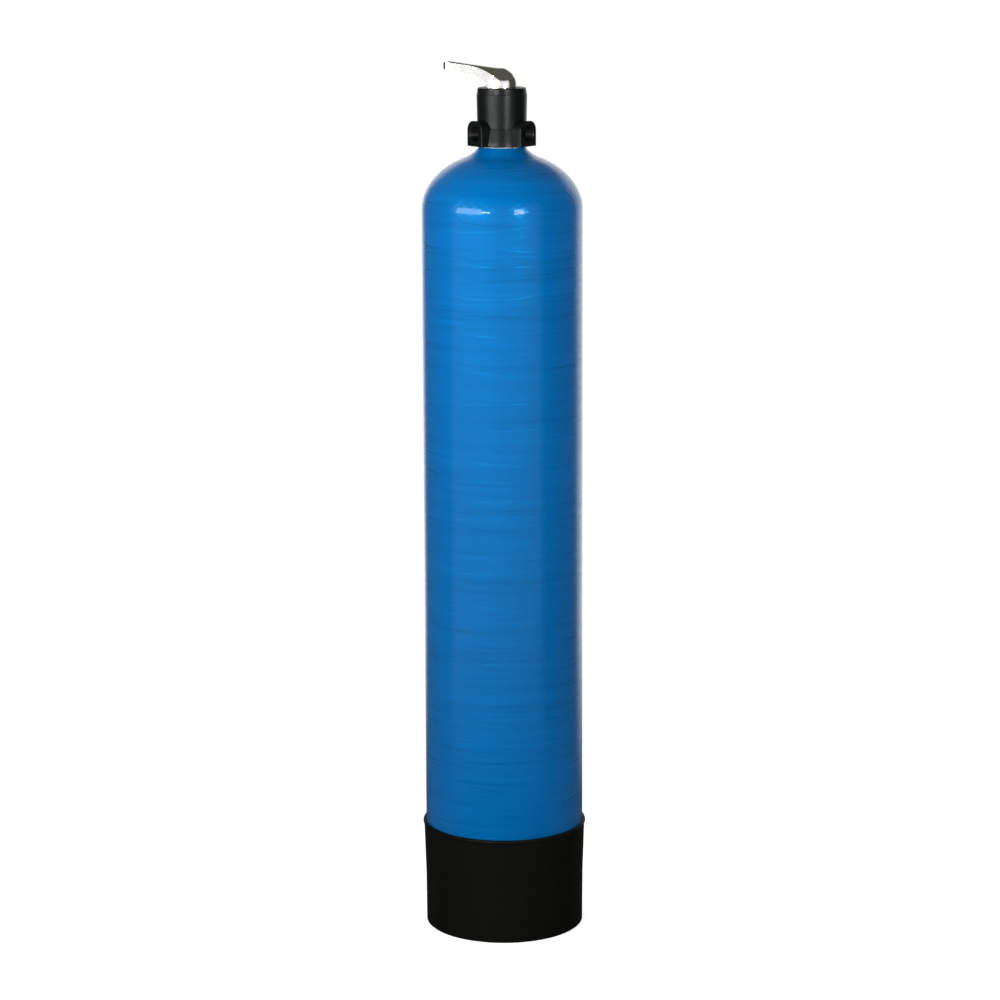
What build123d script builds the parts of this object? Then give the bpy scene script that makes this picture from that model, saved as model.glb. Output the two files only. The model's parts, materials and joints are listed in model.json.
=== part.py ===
"""Whole house water filter: a pressure tank in a moulded boot with a three-way lever valve on top.

Millimetres. The origin is on the floor at the tank's axis, +Z is up and the outlet faces +X.
The drain port stands 110 degrees round from it and the inlet is at the back between them.
"""
from build123d import *
import os
from math import acos, cos, degrees, radians, sin, sqrt

os.makedirs("parts", exist_ok=True)

# Driving dimensions of the tank and its boot
TANK_RADIUS = 154.0
NECK_TOP = 1537.0
TOP_DOME_HEIGHT = 112.0
TOP_DOME_CENTRE = 1415.0
BOTTOM_DOME_HEIGHT = 105.0
BOTTOM_DOME_CENTRE = 135.0
WINDING_WALL = 3.0
LINER_WALL = 3.0
NECK_RADIUS = 44.4
NECK_RING_SHOWS = 2.0
NECK_FLARE_RADIUS = 70.0
BOOT_HEIGHT = 208.0
BOOT_FLOOR = 3.0
BOOT_BORE = TANK_RADIUS + 0.2
BOOT_FOOT_RADIUS = 151.0
BOOT_WALL_OUTLINE = ((154.2, 2.6), (155.0, 100.0), (156.6, 150.0), (158.0, 195.0), (158.6, 201.0))
BOOT_LIP_BULGE = (160.0, 204.5)
BOOT_LIP_RADIUS = 158.2
BOOT_INNER_RADIUS = 150.4
BOOT_SEAT_LOW = 112.0
BOOT_SEAT_HIGH = 120.0
BOOT_RIBS = 12
BOOT_RIB_THICKNESS = 3.0
BOOT_RIB_REACH = 148.0
BOOT_RIB_GAP = 0.15
BOOT_FLOOR_HOLE = 62.0

# Driving dimensions of the neck, the riser and the beds
NECK_BORE = 36.6
NECK_SLEEVE_RADIUS = 40.0
NECK_FLANGE_RADIUS = 62.0
NECK_SLEEVE_LENGTH = 38.0
RISER_RADIUS = 13.35
RISER_WALL = 2.4
STRAINER_RADIUS = 30.0
STRAINER_WALL = 3.0
STRAINER_BOTTOM = 42.0
STRAINER_BASKET_HEIGHT = 84.0
STRAINER_SOCKET_HEIGHT = 26.0
RISER_ROOM = 3.0
GRAVEL_TOP = 210.0
MEDIA_TOP = 1010.0
BED_CLEARANCE = 0.3

# Driving dimensions of the valve, as heights above the neck
DRUM_RADIUS_LOW = 47.2
DRUM_RADIUS_HIGH = 48.2
DRUM_TOP = 98.5
SKIRT_RADIUS = 53.6
SKIRT_TOP = 34.0
SKIRT_LIP = 1.8
FOOT_RADIUS = 51.8
SPIGOT_RADIUS = 35.7
SPIGOT_LENGTH = 28.0
SPIGOT_BORE = 30.0
LOBE_REACH = 62.8
LOBE_HALF_WIDTH = 25.0
LOBE_BOTTOM = 0.6
LOBE_TOP = 49.0
LOBE_CORNER = 18.0
LOBE_FOOT_CORNER = 4.5
LOBE_RIM = 1.6
PORT_HEIGHT = 24.0
PORT_RADIUS = 15.15
PORT_THREAD_LENGTH = 22.0
PORT_LEAD = 1.6
PASSAGE_RADIUS = 11.0
CHAMBER_RADIUS = 36.0
CHAMBER_FLOOR = 58.0
PLUG_BOTTOM = 86.0
BONNET_TOP = 110.0

# Driving dimensions of the ceramic discs and the spindle
GASKET_THICKNESS = 3.0
FIXED_DISC_THICKNESS = 8.0
MOVING_DISC_THICKNESS = 8.0
DISC_RADIUS = 31.0
MOVING_DISC_RADIUS = 30.0
DISC_GAP = 0.05
WINDOW_INNER = 12.0
WINDOW_OUTER = 27.5
WINDOW_SWEEP = 48.0
SPINDLE_RADIUS = 9.0
SPINDLE_FLANGE_RADIUS = 28.0
SPINDLE_SQUARE = 12.0

# Driving dimensions of the lever
LEVER_ANGLE = 215.0
LEVER_REACH = 111.0
LEVER_TIP_WIDTH = 22.0
LEVER_WALL = 3.2
HUB_RADIUS = 29.2
HUB_BOTTOM = 111.0

# Angles of the passages, seen from above
OUTLET_ANGLE = 0
DRAIN_ANGLE = 250
INLET_ANGLE = 125
OPEN_WINDOW = 180
TOP_WINDOWS = (120, 180)
DRAIN_WINDOWS = (60, 240)
RISER_WINDOW = 300
SCREW_COUNT = 6
SCREW_CIRCLE = 40.2
DETENT_CIRCLE = 14.5
DETENT_ANGLE = 45.0
LEVER_STOPS = (0, -60, 120)

# Running fit of parts that turn in each other, and play of the discs on their keys
RUNNING_FIT = 0.05
KEY_PLAY = 0.4


def height(above_neck):
    """Height above the floor of a point given above the tank's neck."""
    return NECK_TOP + above_neck


def level(above_neck):
    """A horizontal plane at a height above the tank's neck."""
    return Plane.XY.offset(height(above_neck))


def dome_angle(radius, half_width):
    """Angle on an ellipse where its distance from the axis is the radius."""
    return degrees(acos(radius / half_width))


def dome_rise(radius, half_width, dome_height):
    """Height of an elliptical dome above its centre at a radius."""
    return dome_height * sqrt(1 - (radius / half_width) ** 2)


def sector(inner, outer, middle, sweep):
    """Add a ring sector to the sketch that is being drawn."""
    with BuildLine() as outline:
        outer_arc = CenterArc((0, 0), outer, middle - sweep / 2, sweep)
        inner_arc = CenterArc((0, 0), inner, middle - sweep / 2, sweep)
        Line(outer_arc @ 0, inner_arc @ 0)
        Line(outer_arc @ 1, inner_arc @ 1)
    make_face(outline.edges())


def ring_groove(outer, inner, bottom, top):
    """Cut a square groove around the axis from the part that is being made."""
    with BuildSketch(level(bottom)) as groove:
        Circle(outer)
        Circle(inner, mode=Mode.SUBTRACT)
    extrude(groove.sketch, amount=top - bottom, mode=Mode.SUBTRACT)


def seal_ring(ring_radius, section_radius, above_neck):
    """Add a round-section seal ring to the part that is being made."""
    with BuildSketch(Plane.XZ) as section:
        with Locations((ring_radius, height(above_neck))):
            Circle(section_radius)
    revolve(section.sketch, axis=Axis.Z)


def finish(part, name):
    """Label a finished piece and write it."""
    part.label = name
    export_step(part, f"parts/{name}.step")


# Wound tank

winding_inner = TANK_RADIUS - WINDING_WALL
flare_start = dome_angle(NECK_FLARE_RADIUS, TANK_RADIUS)
winding_top = NECK_TOP - NECK_RING_SHOWS
insert_dome_height = TOP_DOME_CENTRE + dome_rise(
    NECK_SLEEVE_RADIUS, winding_inner, TOP_DOME_HEIGHT - WINDING_WALL
)

with BuildPart() as tank_winding:
    with BuildSketch(Plane.XZ):
        with BuildLine():
            EllipticalCenterArc(
                (0, BOTTOM_DOME_CENTRE), TANK_RADIUS, BOTTOM_DOME_HEIGHT, -90, arc_size=90
            )
            Line((TANK_RADIUS, BOTTOM_DOME_CENTRE), (TANK_RADIUS, TOP_DOME_CENTRE))
            top_dome = EllipticalCenterArc(
                (0, TOP_DOME_CENTRE), TANK_RADIUS, TOP_DOME_HEIGHT, 0, arc_size=flare_start
            )
            TangentArc(top_dome @ 1, (NECK_RADIUS, winding_top), tangent=top_dome % 1)
            Polyline(
                (NECK_RADIUS, winding_top),
                (NECK_SLEEVE_RADIUS, winding_top),
                (NECK_SLEEVE_RADIUS, insert_dome_height),
            )
            EllipticalCenterArc(
                (0, TOP_DOME_CENTRE), winding_inner, TOP_DOME_HEIGHT - WINDING_WALL,
                0, arc_size=dome_angle(NECK_SLEEVE_RADIUS, winding_inner),
            )
            Line((winding_inner, TOP_DOME_CENTRE), (winding_inner, BOTTOM_DOME_CENTRE))
            EllipticalCenterArc(
                (0, BOTTOM_DOME_CENTRE), winding_inner, BOTTOM_DOME_HEIGHT - WINDING_WALL,
                -90, arc_size=90,
            )
            Line(
                (0, BOTTOM_DOME_CENTRE - BOTTOM_DOME_HEIGHT),
                (0, BOTTOM_DOME_CENTRE - BOTTOM_DOME_HEIGHT + WINDING_WALL),
            )
        make_face()
    revolve(axis=Axis.Z)

# Blow-moulded liner inside the winding

liner_outer = winding_inner
liner_inner = liner_outer - LINER_WALL
liner_top_outer = TOP_DOME_HEIGHT - WINDING_WALL
liner_top_inner = liner_top_outer - LINER_WALL
liner_bottom_outer = BOTTOM_DOME_HEIGHT - WINDING_WALL
liner_bottom_inner = liner_bottom_outer - LINER_WALL

with BuildPart() as tank_liner:
    with BuildSketch(Plane.XZ):
        with BuildLine():
            EllipticalCenterArc(
                (0, BOTTOM_DOME_CENTRE), liner_outer, liner_bottom_outer, -90, arc_size=90
            )
            Line((liner_outer, BOTTOM_DOME_CENTRE), (liner_outer, TOP_DOME_CENTRE))
            outer_dome = EllipticalCenterArc(
                (0, TOP_DOME_CENTRE), liner_outer, liner_top_outer,
                0, arc_size=dome_angle(NECK_SLEEVE_RADIUS, liner_outer),
            )
            inner_dome = EllipticalCenterArc(
                (0, TOP_DOME_CENTRE), liner_inner, liner_top_inner,
                0, arc_size=dome_angle(NECK_SLEEVE_RADIUS, liner_inner),
            )
            Line(outer_dome @ 1, inner_dome @ 1)
            Line((liner_inner, TOP_DOME_CENTRE), (liner_inner, BOTTOM_DOME_CENTRE))
            EllipticalCenterArc(
                (0, BOTTOM_DOME_CENTRE), liner_inner, liner_bottom_inner, -90, arc_size=90
            )
            Line(
                (0, BOTTOM_DOME_CENTRE - liner_bottom_outer),
                (0, BOTTOM_DOME_CENTRE - liner_bottom_inner),
            )
        make_face()
    revolve(axis=Axis.Z)

# Threaded insert moulded into the neck, with its flange under the liner

flange_clear = 0.1
flange_dome_width = liner_inner - flange_clear
flange_dome_height = liner_top_inner - flange_clear
flange_bottom = NECK_TOP - NECK_SLEEVE_LENGTH
seal_seat_radius = 38.4
seal_seat_depth = 4.4

with BuildPart() as neck_insert:
    with BuildSketch(Plane.XZ):
        with BuildLine():
            rim_angle = dome_angle(NECK_FLANGE_RADIUS, flange_dome_width)
            sleeve_angle = dome_angle(NECK_SLEEVE_RADIUS, flange_dome_width)
            flange_top = EllipticalCenterArc(
                (0, TOP_DOME_CENTRE), flange_dome_width, flange_dome_height,
                rim_angle, arc_size=sleeve_angle - rim_angle,
            )
            Polyline(
                flange_top @ 1,
                (NECK_SLEEVE_RADIUS, NECK_TOP),
                (seal_seat_radius, NECK_TOP),
                (seal_seat_radius, NECK_TOP - seal_seat_depth),
                (NECK_BORE, NECK_TOP - seal_seat_depth),
                (NECK_BORE, flange_bottom),
                (NECK_FLANGE_RADIUS, flange_bottom),
                flange_top @ 0,
            )
        make_face()
    revolve(axis=Axis.Z)

# Moulded boot that the round bottom of the tank stands in

rib_dome_width = TANK_RADIUS + BOOT_RIB_GAP
rib_root_angle = dome_angle(BOOT_FLOOR_HOLE + 2, rib_dome_width)
rib_tip_angle = dome_angle(BOOT_RIB_REACH, rib_dome_width)

with BuildPart() as base_boot:
    with BuildSketch(Plane.XZ):
        with BuildLine():
            Polyline(
                (BOOT_FLOOR_HOLE, 0),
                (BOOT_FOOT_RADIUS, 0),
                *BOOT_WALL_OUTLINE,
            )
            ThreePointArc(BOOT_WALL_OUTLINE[-1], BOOT_LIP_BULGE, (BOOT_LIP_RADIUS, BOOT_HEIGHT))
            Polyline(
                (BOOT_LIP_RADIUS, BOOT_HEIGHT),
                (BOOT_BORE, BOOT_HEIGHT),
                (BOOT_BORE, BOOT_SEAT_HIGH),
                (BOOT_INNER_RADIUS, BOOT_SEAT_LOW),
                (BOOT_INNER_RADIUS, BOOT_FLOOR),
                (BOOT_FLOOR_HOLE, BOOT_FLOOR),
                (BOOT_FLOOR_HOLE, 0),
            )
        make_face()
    revolve(axis=Axis.Z)
    with BuildSketch(Plane.XZ, mode=Mode.PRIVATE) as rib_profile:
        with BuildLine():
            rib_dome = EllipticalCenterArc(
                (0, BOTTOM_DOME_CENTRE), rib_dome_width, BOTTOM_DOME_HEIGHT + BOOT_RIB_GAP,
                -rib_root_angle, arc_size=rib_root_angle - rib_tip_angle,
            )
            Polyline(
                rib_dome @ 1,
                (BOOT_INNER_RADIUS + 0.2, (rib_dome @ 1).Y),
                (BOOT_INNER_RADIUS + 0.2, BOOT_FLOOR - 1),
                ((rib_dome @ 0).X, BOOT_FLOOR - 1),
                rib_dome @ 0,
            )
        make_face()
    rib = extrude(
        rib_profile.sketch, amount=BOOT_RIB_THICKNESS / 2, both=True, mode=Mode.PRIVATE
    )
    with PolarLocations(0, BOOT_RIBS):
        add(rib)

# Beds inside the tank, with room for the strainer and the riser

bed_width = liner_inner - BED_CLEARANCE
bed_depth = liner_bottom_inner - BED_CLEARANCE
strainer_pocket = STRAINER_RADIUS + 1.0
strainer_top = STRAINER_BOTTOM + STRAINER_BASKET_HEIGHT
strainer_socket_top = strainer_top + STRAINER_SOCKET_HEIGHT
riser_pocket = RISER_RADIUS + RISER_ROOM

with BuildPart() as gravel_bed:
    with BuildSketch(Plane.XZ):
        with BuildLine():
            pocket_angle = dome_angle(strainer_pocket, bed_width)
            bowl = EllipticalCenterArc(
                (0, BOTTOM_DOME_CENTRE), bed_width, bed_depth, -pocket_angle,
                arc_size=pocket_angle,
            )
            Polyline(
                bowl @ 1,
                (bed_width, GRAVEL_TOP),
                (riser_pocket, GRAVEL_TOP),
                (riser_pocket, strainer_socket_top + 1),
                (strainer_pocket, strainer_top + 1),
                bowl @ 0,
            )
        make_face()
    revolve(axis=Axis.Z)

with BuildPart() as filter_media:
    with BuildSketch(Plane.XY.offset(GRAVEL_TOP)):
        Circle(bed_width)
        Circle(riser_pocket - 1, mode=Mode.SUBTRACT)
    extrude(amount=MEDIA_TOP - GRAVEL_TOP)

# Riser tube and the slotted strainers at its ends

riser_top = 8.0
riser_bottom = strainer_top + 4.0

with BuildPart() as riser_tube:
    with BuildSketch(Plane.XY.offset(riser_bottom)):
        Circle(RISER_RADIUS)
        Circle(RISER_RADIUS - RISER_WALL, mode=Mode.SUBTRACT)
    extrude(amount=height(riser_top) - riser_bottom)

slot_rows = 7
slot_pitch = 9.0
slot_height = 2.2
slot_columns = 8
slot_sweep = 32
first_slot = 9.0
basket_edge = 4.0
basket_shoulder = 8.0
socket_wall = 2.4
cone_rise = 6.0

with BuildPart() as bottom_strainer:
    with BuildSketch(Plane.XZ):
        with BuildLine():
            Polyline(
                (0, STRAINER_BOTTOM),
                (STRAINER_RADIUS - basket_edge, STRAINER_BOTTOM),
                (STRAINER_RADIUS, STRAINER_BOTTOM + basket_edge),
                (STRAINER_RADIUS, strainer_top - basket_shoulder),
                (RISER_RADIUS + socket_wall, strainer_top + cone_rise),
                (RISER_RADIUS + socket_wall, strainer_socket_top),
                (RISER_RADIUS + RUNNING_FIT, strainer_socket_top),
                (RISER_RADIUS + RUNNING_FIT, riser_bottom),
                (RISER_RADIUS - RISER_WALL, riser_bottom),
                (STRAINER_RADIUS - STRAINER_WALL, strainer_top - basket_shoulder - basket_edge),
                (STRAINER_RADIUS - STRAINER_WALL, STRAINER_BOTTOM + STRAINER_WALL),
                (0, STRAINER_BOTTOM + STRAINER_WALL),
                close=True,
            )
        make_face()
    revolve(axis=Axis.Z)
    for row in range(slot_rows):
        with BuildSketch(Plane.XY.offset(STRAINER_BOTTOM + first_slot + row * slot_pitch)):
            for column in range(slot_columns):
                sector(
                    STRAINER_RADIUS - STRAINER_WALL - 1, STRAINER_RADIUS + 1,
                    column * 360 / slot_columns, slot_sweep,
                )
        extrude(amount=slot_height, mode=Mode.SUBTRACT)

top_strainer_length = 62.0
top_strainer_wall = 2.5
top_slot_rows = 4
top_slot_columns = 6
top_slot_pitch = 10.0
top_slot_sweep = 44
top_strainer_low = -SPIGOT_LENGTH - top_strainer_length
cone_top = -SPIGOT_LENGTH - 12.0
collar_low = -SPIGOT_LENGTH - 5.0
collar_radius = 34.5
collar_bore = 31.0
cone_radius_low = 25.0
cone_radius_high = 29.0
riser_slip = RISER_RADIUS + 0.3

with BuildPart() as top_strainer:
    with BuildSketch(Plane.XZ):
        with BuildLine():
            Polyline(
                (riser_slip, height(top_strainer_low)),
                (cone_radius_low, height(top_strainer_low)),
                (cone_radius_high, height(cone_top)),
                (collar_radius, height(collar_low)),
                (collar_radius, height(-SPIGOT_LENGTH)),
                (collar_bore, height(-SPIGOT_LENGTH)),
                (cone_radius_high - top_strainer_wall, height(cone_top)),
                (cone_radius_low - top_strainer_wall, height(top_strainer_low + top_strainer_wall)),
                (riser_slip, height(top_strainer_low + top_strainer_wall)),
                close=True,
            )
        make_face()
    revolve(axis=Axis.Z)
    for row in range(top_slot_rows):
        with BuildSketch(level(top_strainer_low + first_slot + row * top_slot_pitch)):
            for column in range(top_slot_columns):
                sector(
                    cone_radius_low - 2 * top_strainer_wall, cone_radius_high + 1,
                    column * 360 / top_slot_columns, top_slot_sweep,
                )
        extrude(amount=slot_height, mode=Mode.SUBTRACT)

# Valve body: spigot, foot, skirt, three port lobes and the drum, with its passages

lobe_root = 30.0
lobe_draft = 2.2
port_passage_end = 17.0
inlet_passage_end = 33.0
inlet_riser_depth = 4.2
inlet_riser_sweep = 42
gallery_depth = 5.0
gallery_end = 330
gallery_sweep = 228
gallery_low = 37.5
gallery_high = 45.0
passage_inner = RISER_RADIUS + 4.0
passage_ceiling = CHAMBER_FLOOR
top_passage_middle = sum(TOP_WINDOWS) / 2
top_passage_sweep = TOP_WINDOWS[1] - TOP_WINDOWS[0] + WINDOW_SWEEP
deck_key_width = 5.0
deck_key_length = 8.0
deck_key_reach = DISC_RADIUS + 1.0
deck_key_height = 10.0
deck_key_angles = (30, 210)
foot_boss_radius = RISER_RADIUS + 3.6
riser_bore_radius = RISER_RADIUS + 0.15
seal_land_radius = 33.6
drum_edge = 0.8
riser_seal_height = 4.0
screw_hole_radius = 1.7
screw_hole_depth = 16.0


def port_plane(angle, reach):
    """A plane square to a port's axis, facing out, at a distance from the tank's axis."""
    outward = Vector(cos(radians(angle)), sin(radians(angle)), 0)
    centre = outward * reach + Vector(0, 0, height(PORT_HEIGHT))
    return Plane(origin=centre, x_dir=Vector(0, 0, 1).cross(outward), z_dir=outward)


with BuildPart() as valve_body:
    with BuildSketch(Plane.XZ):
        with BuildLine():
            Polyline(
                (SPIGOT_BORE, height(-SPIGOT_LENGTH)),
                (SPIGOT_RADIUS, height(-SPIGOT_LENGTH)),
                (SPIGOT_RADIUS, height(-seal_seat_depth)),
                (seal_land_radius, height(-seal_seat_depth)),
                (seal_land_radius, height(0)),
                (FOOT_RADIUS, height(0)),
                (SKIRT_RADIUS, height(SKIRT_LIP)),
                (SKIRT_RADIUS, height(2 * SKIRT_LIP)),
                (DRUM_RADIUS_LOW + drum_edge, height(SKIRT_TOP - drum_edge)),
                (DRUM_RADIUS_LOW, height(SKIRT_TOP)),
                (DRUM_RADIUS_LOW, height(LOBE_TOP)),
                (DRUM_RADIUS_HIGH, height(DRUM_TOP - drum_edge)),
                (DRUM_RADIUS_HIGH - drum_edge, height(DRUM_TOP)),
                (CHAMBER_RADIUS, height(DRUM_TOP)),
                (CHAMBER_RADIUS, height(CHAMBER_FLOOR)),
                (0, height(CHAMBER_FLOOR)),
                (0, height(0)),
                (SPIGOT_BORE, height(0)),
                close=True,
            )
        make_face()
    revolve(axis=Axis.Z)
    with BuildSketch(level(-SPIGOT_LENGTH)):
        Circle(foot_boss_radius)
    extrude(amount=SPIGOT_LENGTH)
    for angle in (INLET_ANGLE, OUTLET_ANGLE, DRAIN_ANGLE):
        with BuildSketch(port_plane(angle, LOBE_REACH)):
            with Locations((0, (LOBE_TOP + LOBE_BOTTOM) / 2 - PORT_HEIGHT)):
                lobe_face = Rectangle(2 * LOBE_HALF_WIDTH, LOBE_TOP - LOBE_BOTTOM)
            fillet(lobe_face.vertices().group_by(Axis.Y)[-1], LOBE_CORNER)
            fillet(lobe_face.vertices().group_by(Axis.Y)[0], LOBE_FOOT_CORNER)
        extrude(amount=lobe_root - LOBE_REACH, taper=lobe_draft)
    lobe_rims = valve_body.faces().filter_by(
        lambda face: face.center().Z > height(SKIRT_LIP)
        and abs(Vector(face.center().X, face.center().Y, 0).length - LOBE_REACH) < 0.2
    )
    fillet(lobe_rims.edges(), LOBE_RIM)
    for angle in (INLET_ANGLE, OUTLET_ANGLE, DRAIN_ANGLE):
        with BuildSketch(port_plane(angle, LOBE_REACH)):
            Circle(PORT_RADIUS)
        extrude(amount=-PORT_THREAD_LENGTH, mode=Mode.SUBTRACT)
        passage_end = inlet_passage_end if angle == INLET_ANGLE else port_passage_end
        with BuildSketch(port_plane(angle, passage_end)):
            Circle(PASSAGE_RADIUS)
        extrude(amount=LOBE_REACH - passage_end, mode=Mode.SUBTRACT)
    port_mouths = (
        valve_body.edges()
        .filter_by(GeomType.CIRCLE)
        .filter_by(lambda edge: abs(edge.radius - PORT_RADIUS) < 0.01)
        .filter_by(
            lambda edge: Vector(edge.arc_center.X, edge.arc_center.Y, 0).length > LOBE_REACH - 1
        )
    )
    chamfer(port_mouths, PORT_LEAD)
    with BuildSketch(level(-SPIGOT_LENGTH)):
        Circle(riser_bore_radius)
    extrude(amount=SPIGOT_LENGTH + riser_top + 4, mode=Mode.SUBTRACT)
    with BuildSketch(level(riser_top)):
        Circle(PASSAGE_RADIUS)
    extrude(amount=gallery_high + 8 - riser_top, mode=Mode.SUBTRACT)
    ring_groove(RISER_RADIUS + 3.1, RISER_RADIUS, riser_seal_height - 1.7, riser_seal_height + 1.7)
    with BuildSketch(level(0)):
        sector(passage_inner, WINDOW_OUTER, top_passage_middle, top_passage_sweep)
    extrude(amount=passage_ceiling, mode=Mode.SUBTRACT)
    with BuildSketch(level(PORT_HEIGHT - PASSAGE_RADIUS)):
        sector(passage_inner, WINDOW_OUTER, OUTLET_ANGLE, WINDOW_SWEEP)
        sector(passage_inner, WINDOW_OUTER, DRAIN_WINDOWS[1], WINDOW_SWEEP)
    extrude(amount=passage_ceiling - PORT_HEIGHT + PASSAGE_RADIUS, mode=Mode.SUBTRACT)
    with BuildSketch(level(gallery_low)):
        sector(CHAMBER_RADIUS - gallery_depth, CHAMBER_RADIUS, gallery_end, gallery_sweep)
        sector(passage_inner, CHAMBER_RADIUS, DRAIN_WINDOWS[0], WINDOW_SWEEP)
        sector(passage_inner, CHAMBER_RADIUS, DRAIN_WINDOWS[1], WINDOW_SWEEP)
    extrude(amount=gallery_high - gallery_low, mode=Mode.SUBTRACT)
    with BuildSketch(level(gallery_high)):
        sector(passage_inner, WINDOW_OUTER, DRAIN_WINDOWS[0], WINDOW_SWEEP)
        sector(WINDOW_INNER - 2, WINDOW_OUTER, RISER_WINDOW, WINDOW_SWEEP)
    extrude(amount=passage_ceiling - gallery_high, mode=Mode.SUBTRACT)
    with BuildSketch(level(PORT_HEIGHT - 8)):
        sector(
            CHAMBER_RADIUS - inlet_riser_depth, CHAMBER_RADIUS, INLET_ANGLE, inlet_riser_sweep
        )
    extrude(amount=passage_ceiling - PORT_HEIGHT + 8, mode=Mode.SUBTRACT)
    with BuildSketch(level(CHAMBER_FLOOR)):
        for angle in deck_key_angles:
            with PolarLocations(deck_key_reach, 1, start_angle=angle):
                Rectangle(deck_key_length, deck_key_width)
    extrude(amount=deck_key_height)
    with BuildSketch(level(DRUM_TOP)):
        with PolarLocations(SCREW_CIRCLE, SCREW_COUNT):
            Circle(screw_hole_radius)
    extrude(amount=-screw_hole_depth, mode=Mode.SUBTRACT)

with BuildPart() as neck_oring:
    seal_ring(36.0, 2.1, -seal_seat_depth / 2 - 0.05)

with BuildPart() as riser_oring:
    seal_ring(RISER_RADIUS + 1.6, 1.5, riser_seal_height)

# Gasket and ceramic discs that steer the water

gasket_bottom = CHAMBER_FLOOR
fixed_disc_bottom = gasket_bottom + GASKET_THICKNESS
moving_disc_bottom = fixed_disc_bottom + FIXED_DISC_THICKNESS + DISC_GAP
spindle_flange_bottom = moving_disc_bottom + MOVING_DISC_THICKNESS
drive_slot_width = 8.0
drive_slot_length = 10.0
drive_slot_depth = 3.0
drive_slot_reach = 22.0
drive_play = 0.2
drive_angles = (60, 240)


def disc_with_windows(bottom, thickness):
    """Add a keyed disc with one window over each passage to the part that is being made."""
    with BuildSketch(level(bottom)) as plan:
        Circle(DISC_RADIUS)
        for window in (*TOP_WINDOWS, *DRAIN_WINDOWS, RISER_WINDOW, OUTLET_ANGLE):
            with BuildSketch(mode=Mode.SUBTRACT):
                sector(WINDOW_INNER, WINDOW_OUTER, window, WINDOW_SWEEP)
        for angle in deck_key_angles:
            with PolarLocations(deck_key_reach, 1, start_angle=angle):
                Rectangle(
                    deck_key_length + KEY_PLAY, deck_key_width + KEY_PLAY, mode=Mode.SUBTRACT
                )
    extrude(plan.sketch, amount=thickness)


with BuildPart() as disc_gasket:
    disc_with_windows(gasket_bottom, GASKET_THICKNESS)

with BuildPart() as fixed_disc:
    disc_with_windows(fixed_disc_bottom, FIXED_DISC_THICKNESS)

blind_link_middle = (RISER_WINDOW + 360) / 2
blind_link_sweep = 360 - RISER_WINDOW + WINDOW_SWEEP
blind_link_depth = 4.5

with BuildPart() as moving_disc:
    with BuildSketch(level(moving_disc_bottom)):
        Circle(MOVING_DISC_RADIUS)
        with BuildSketch(mode=Mode.SUBTRACT):
            sector(WINDOW_INNER, WINDOW_OUTER, OPEN_WINDOW, WINDOW_SWEEP)
    extrude(amount=MOVING_DISC_THICKNESS)
    with BuildSketch(level(moving_disc_bottom)):
        sector(WINDOW_INNER, WINDOW_OUTER, blind_link_middle, blind_link_sweep)
    extrude(amount=blind_link_depth, mode=Mode.SUBTRACT)
    with BuildSketch(level(spindle_flange_bottom)):
        for angle in drive_angles:
            with PolarLocations(drive_slot_reach, 1, start_angle=angle):
                Rectangle(drive_slot_length, drive_slot_width)
    extrude(amount=-drive_slot_depth, mode=Mode.SUBTRACT)

# Spindle that turns the moving disc, with its seals and washer

flange_thickness = 6.0
flange_top_level = spindle_flange_bottom + flange_thickness
stem_seal_heights = (92.0, 99.0)
stem_seal_section = 1.0
stem_groove_radius = SPINDLE_RADIUS - 2.0
stem_groove_half = stem_seal_section + 0.15
thrust_washer_radius = 20.0
square_bottom = HUB_BOTTOM - 0.4
square_top = HUB_BOTTOM + 18.0
lever_screw_radius = 2.5
lever_screw_depth = 14.0

with BuildPart() as spindle:
    with BuildSketch(level(spindle_flange_bottom)):
        Circle(SPINDLE_FLANGE_RADIUS)
        with BuildSketch(mode=Mode.SUBTRACT):
            sector(WINDOW_INNER, SPINDLE_FLANGE_RADIUS + 2, OPEN_WINDOW, WINDOW_SWEEP + 8)
    extrude(amount=flange_thickness)
    with BuildSketch(level(spindle_flange_bottom)):
        for angle in drive_angles:
            with PolarLocations(drive_slot_reach, 1, start_angle=angle):
                Rectangle(drive_slot_length - drive_play, drive_slot_width - drive_play)
    extrude(amount=-drive_slot_depth + drive_play)
    with BuildSketch(level(flange_top_level)):
        Circle(SPINDLE_RADIUS)
    extrude(amount=square_bottom - flange_top_level)
    with BuildSketch(level(square_bottom)):
        Rectangle(SPINDLE_SQUARE, SPINDLE_SQUARE)
    extrude(amount=square_top - square_bottom)
    for seal_height in stem_seal_heights:
        ring_groove(
            SPINDLE_RADIUS + 1, stem_groove_radius,
            seal_height - stem_groove_half, seal_height + stem_groove_half,
        )
    with BuildSketch(level(square_top)):
        Circle(lever_screw_radius)
    extrude(amount=-lever_screw_depth, mode=Mode.SUBTRACT)

with BuildPart() as spindle_orings:
    for seal_height in stem_seal_heights:
        seal_ring(stem_groove_radius + stem_seal_section + 0.02, stem_seal_section, seal_height)

with BuildPart() as thrust_washer:
    with BuildSketch(level(flange_top_level)):
        Circle(thrust_washer_radius)
        Circle(SPINDLE_RADIUS + 2 * RUNNING_FIT, mode=Mode.SUBTRACT)
    extrude(amount=PLUG_BOTTOM - flange_top_level - RUNNING_FIT)

# Bonnet that closes the drum

plug_clearance = 0.15
bonnet_seal_height = 92.0
bonnet_seal_groove = CHAMBER_RADIUS - 2.4
bonnet_seal_half = 1.6
bonnet_recess = 1.5
bonnet_radius_low = DRUM_RADIUS_HIGH - drum_edge
bonnet_radius_high = 46.3
bonnet_edge = 2.0
index_outer = 35.5
index_inner = HUB_RADIUS + 1.2
counterbore_radius = 3.9
counterbore_depth = 5.0
detent_ball_radius = 3.0
detent_hole_radius = detent_ball_radius + RUNNING_FIT
detent_hole_depth = 14.0

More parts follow.
